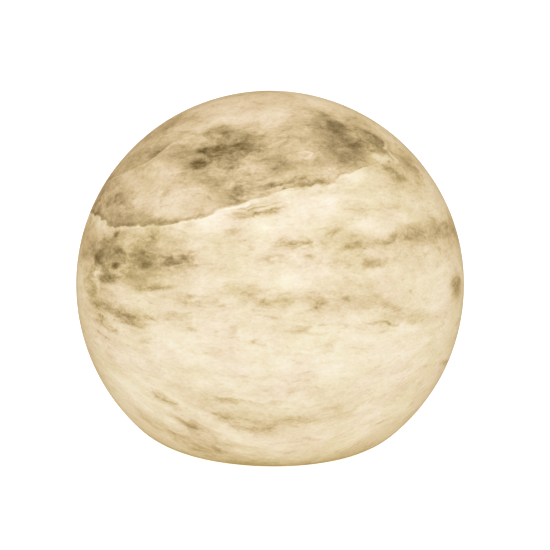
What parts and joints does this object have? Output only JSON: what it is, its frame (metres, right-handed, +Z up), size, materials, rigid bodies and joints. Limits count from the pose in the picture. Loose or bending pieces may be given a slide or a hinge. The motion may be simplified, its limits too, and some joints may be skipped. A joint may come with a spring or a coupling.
{
  "type": "orb table lamp",
  "caption": "Glowing veined stone orb lamp with a rounded flat foot; the hollow orb lifts off a rechargeable light unit with an opal diffuser, a push button and a charging socket.",
  "frame": {"origin": "on the table, under the middle of the orb, in the plane of the foot ring's underside", "axes": "+Z up along the orb's axis; -Y is the front that the picture shows; +Y is the rear, where the cable notch is"},
  "size_m": [0.2, 0.2, 0.184],
  "materials": {
    "alabaster": "satin",
    "collar_metal": "satin",
    "base_metal": "satin",
    "silicone": "matte",
    "button_plastic": "satin",
    "dome_silicone": "matte",
    "green_board": "satin",
    "chip_black": "matte",
    "inductor_grey": "matte",
    "can_metal": "satin",
    "connector_ivory": "satin",
    "socket_steel": "satin",
    "indicator": "gloss",
    "clear_pipe": "gloss",
    "tray_plastic": "matte",
    "screw_steel": "satin",
    "pad_foam": "matte",
    "battery_wrap": "satin",
    "wire_red": "satin",
    "wire_black": "satin",
    "cup_paint": "matte",
    "spring_steel": "polished",
    "post_metal": "satin",
    "white_board": "satin",
    "led_phosphor": "satin",
    "ring_metal": "satin",
    "opal": "satin"
  },
  "bodies": {
    "base": {"base_plate": "base_metal", "foot_ring": "silicone", "seat_gasket": "silicone", "button_dome": "dome_silicone", "driver_board": "green_board", "controller_chip": "chip_black", "power_inductor": "inductor_grey", "capacitors": "can_metal", "battery_connector": "connector_ivory", "led_connector": "connector_ivory", "usb_socket": "socket_steel", "usb_tongue": "chip_black", "charge_indicator": "indicator", "light_pipe": "clear_pipe", "battery_tray": "tray_plastic", "tray_screws": "screw_steel", "battery_pad": "pad_foam", "battery_pack": "battery_wrap", "battery_lead_red": "wire_red", "battery_lead_black": "wire_black", "led_lead_red": "wire_red", "led_lead_black": "wire_black", "housing_cup": "cup_paint", "clip_screws": "screw_steel", "light_post": "post_metal", "post_screws": "screw_steel", "cap_board": "white_board", "cap_leds": "led_phosphor", "diffuser_ring": "ring_metal", "ring_screws": "screw_steel", "diffuser": "opal", "clip_spring_1": "spring_steel", "clip_spring_2": "spring_steel", "clip_spring_3": "spring_steel", "led_strip_1": "white_board", "led_strip_2": "white_board", "led_strip_3": "white_board", "led_strip_4": "white_board", "led_strip_5": "white_board", "led_strip_6": "white_board", "strip_leds_1": "led_phosphor", "strip_leds_2": "led_phosphor", "strip_leds_3": "led_phosphor", "strip_leds_4": "led_phosphor", "strip_leds_5": "led_phosphor", "strip_leds_6": "led_phosphor"},
    "orb": {"alabaster_orb": "alabaster", "mouth_collar": "collar_metal"},
    "button": {"button_cap": "button_plastic"}
  },
  "joints": [
    {"name": "orb_lift", "type": "slide", "parent": "base", "child": "orb", "axis": [0, 0, 1], "range_m": [0, 0.13], "deforming": ["clip_spring_1", "clip_spring_2", "clip_spring_3"]},
    {"name": "button_press", "type": "slide", "parent": "base", "child": "button", "axis": [0, 0, 1], "range_m": [0, 0.001], "stiffness_N_per_m": 800, "springref_m": -0.0005, "deforming": ["button_dome"]}
  ]
}
